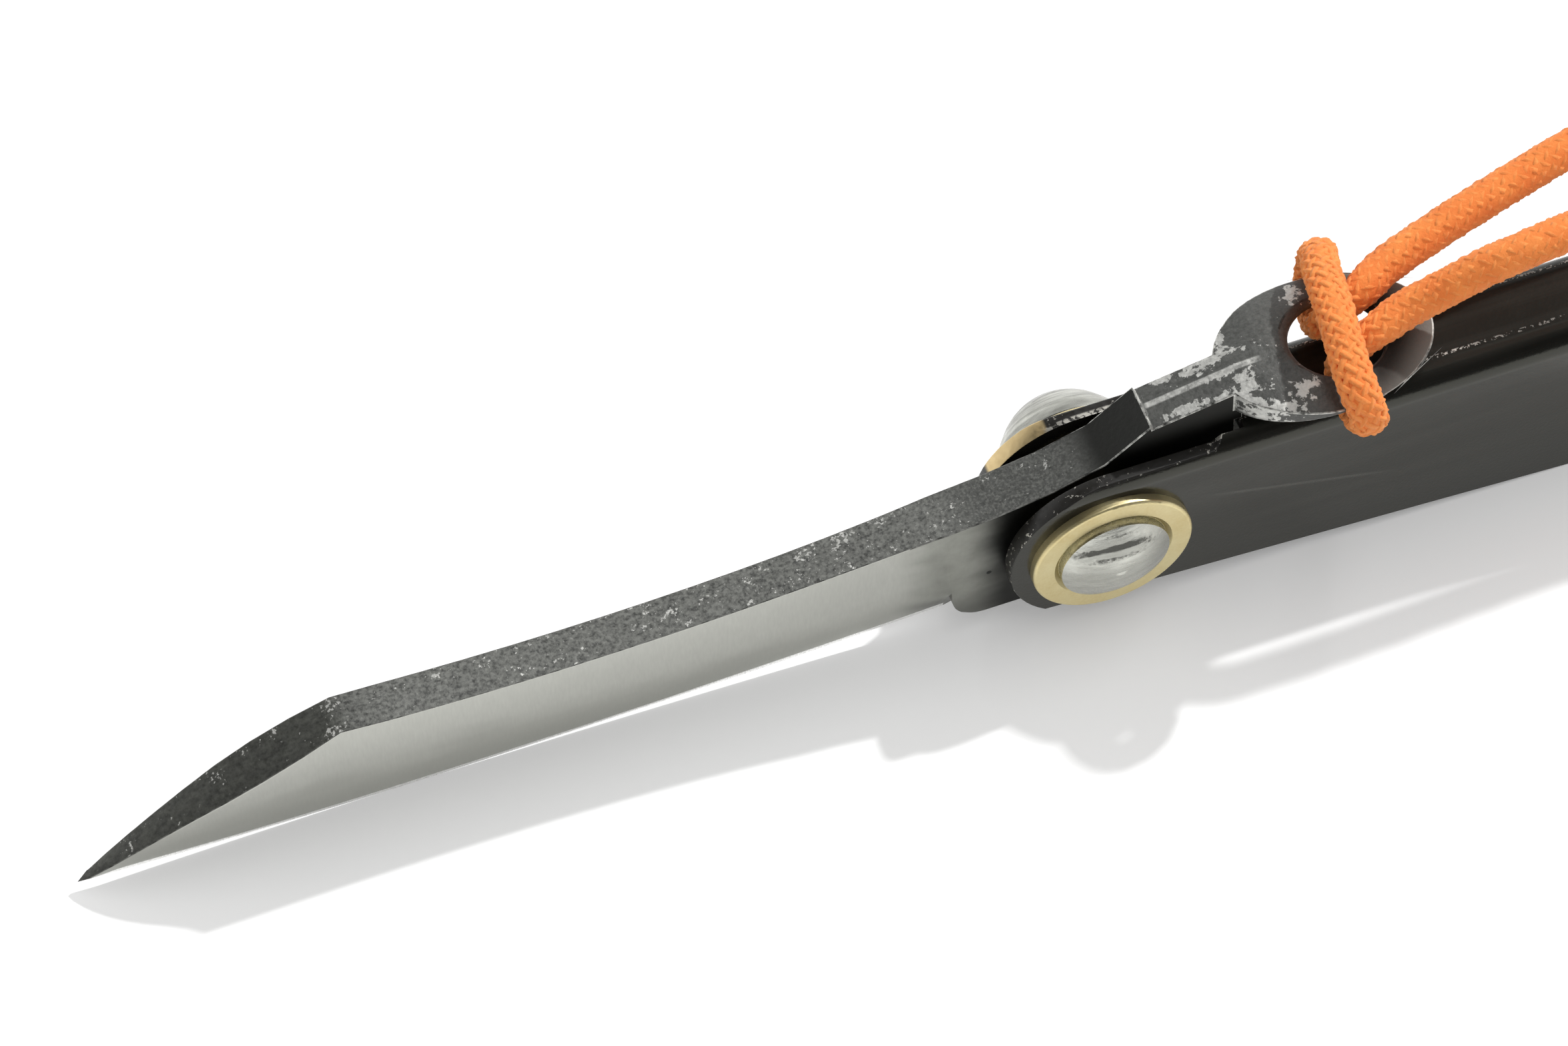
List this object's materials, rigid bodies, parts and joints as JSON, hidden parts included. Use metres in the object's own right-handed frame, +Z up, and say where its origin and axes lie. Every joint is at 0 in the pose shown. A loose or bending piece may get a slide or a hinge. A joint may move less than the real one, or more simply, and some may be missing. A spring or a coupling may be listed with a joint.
{
  "type": "friction folding knife",
  "caption": "Pocket knife with a folded sheet handle, a forged blade that turns on one washered rivet, a thumb lever ending in a flat eyelet, and a cord lanyard hitched through it.",
  "frame": {"origin": "centre of the knife's box, cord left out, on the plane that its lips and the belly of its edge stand on", "axes": "+X along the knife from the blade's point to the butt, +Y away from the camera's side, +Z up through the spine"},
  "size_m": [0.149, 0.0191, 0.0234],
  "materials": {
    "dark_coat": "satin dark coat over folded brass sheet",
    "forged_steel": "ground satin faces, dark forge scale on the spine and lever",
    "polished_steel": "bright softly polished heads",
    "brass": "pale satin",
    "orange_cord": "braided cord"
  },
  "bodies": {
    "handle": {"handle_shell": "dark_coat", "pivot_rivet": "polished_steel", "near_washer": "brass", "far_washer": "brass", "near_spacer": "brass", "far_spacer": "brass"},
    "blade_lever": {"blade": "forged_steel", "lanyard_hitch": "orange_cord", "lanyard_near_strand": "orange_cord", "lanyard_far_strand": "orange_cord", "lanyard_knot": "orange_cord"}
  },
  "joints": [
    {"name": "blade_pivot", "type": "hinge", "parent": "handle", "child": "blade_lever", "pos_m": [-0.00475, -0.0013, 0.007], "axis": [0, -1, 0], "range_deg": [0, 176]}
  ]
}
